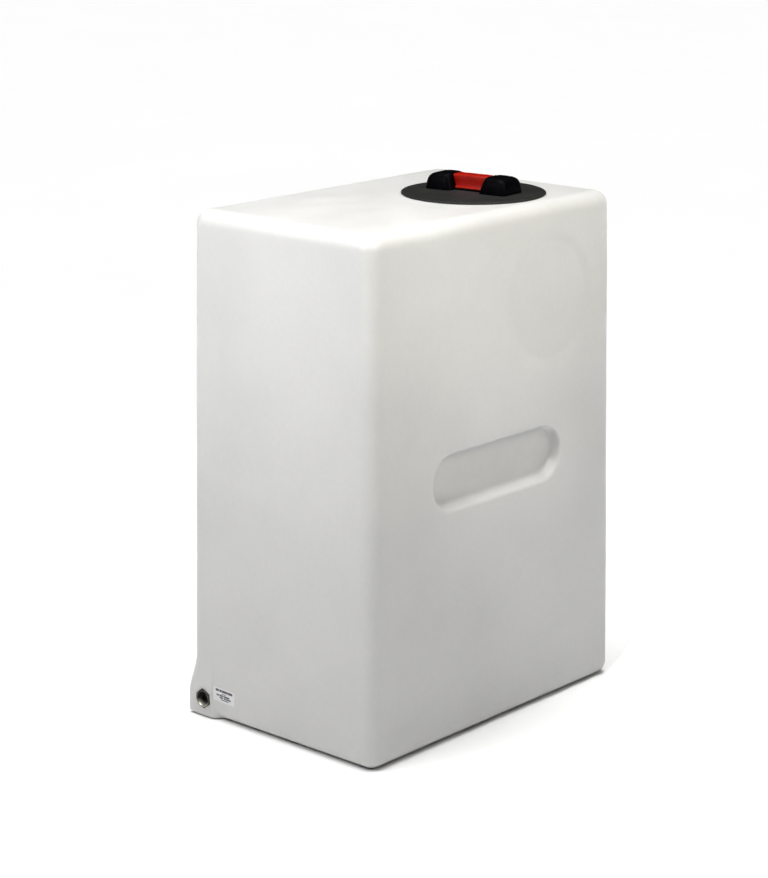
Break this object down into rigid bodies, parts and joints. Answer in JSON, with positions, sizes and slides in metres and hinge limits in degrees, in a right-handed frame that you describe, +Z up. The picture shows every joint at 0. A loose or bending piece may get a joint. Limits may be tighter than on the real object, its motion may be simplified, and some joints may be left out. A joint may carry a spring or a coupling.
{
  "type": "fresh water tank",
  "caption": "Upright moulded fresh water tank with a vented bayonet lid, strap recesses in the long walls and a brass outlet at a bottom corner.",
  "frame": {"origin": "centre of the flat base, where it rests on the floor", "axes": "+Z up; X along the length, with the outlet at the -X end and the lid towards +X; Y across the width, with the outlet near the +Y wall"},
  "size_m": [0.5109, 0.3332, 0.7155],
  "materials": {
    "shell": "natural polyethylene, milky and slightly see-through, soft satin",
    "lid_plastic": "charcoal polypropylene, fine grain",
    "grip_plastic": "black moulded plastic, semi-gloss",
    "vent_plastic": "red moulded plastic, semi-gloss",
    "rubber": "matt black rubber",
    "steel": "bright stainless",
    "outlet_metal": "dull nickel-plated brass",
    "label": "white film label"
  },
  "bodies": {
    "tank": {"tank_body": "shell", "neck_gasket": "rubber", "neck_ring": "lid_plastic", "neck_screw_1": "steel", "neck_screw_2": "steel", "neck_screw_3": "steel", "neck_screw_4": "steel", "neck_screw_5": "steel", "neck_screw_6": "steel", "outlet_insert": "outlet_metal", "data_label": "label"},
    "lid_seal": {"lid_seal": "rubber"},
    "lid": {"lid_disc": "lid_plastic", "lid_grip": "grip_plastic", "grip_screw_1": "steel", "grip_screw_2": "steel", "grip_screw_3": "steel", "grip_screw_4": "steel"},
    "vent": {"vent_cap": "vent_plastic", "vent_stem": "grip_plastic", "vent_seal": "rubber", "vent_retainer": "steel"}
  },
  "joints": [
    {"name": "lid_lift", "type": "slide", "parent": "tank", "child": "lid_seal", "axis": [0, 0, 1], "range_m": [0, 0.21]},
    {"name": "lid_turn", "type": "hinge", "parent": "lid_seal", "child": "lid", "pos_m": [0.0955, -0.035, 0.69], "axis": [0, 0, 1], "range_deg": [0, 60]},
    {"name": "vent_lift", "type": "slide", "parent": "lid", "child": "vent", "axis": [0, 0, 1], "range_m": [0, 0.008]}
  ]
}
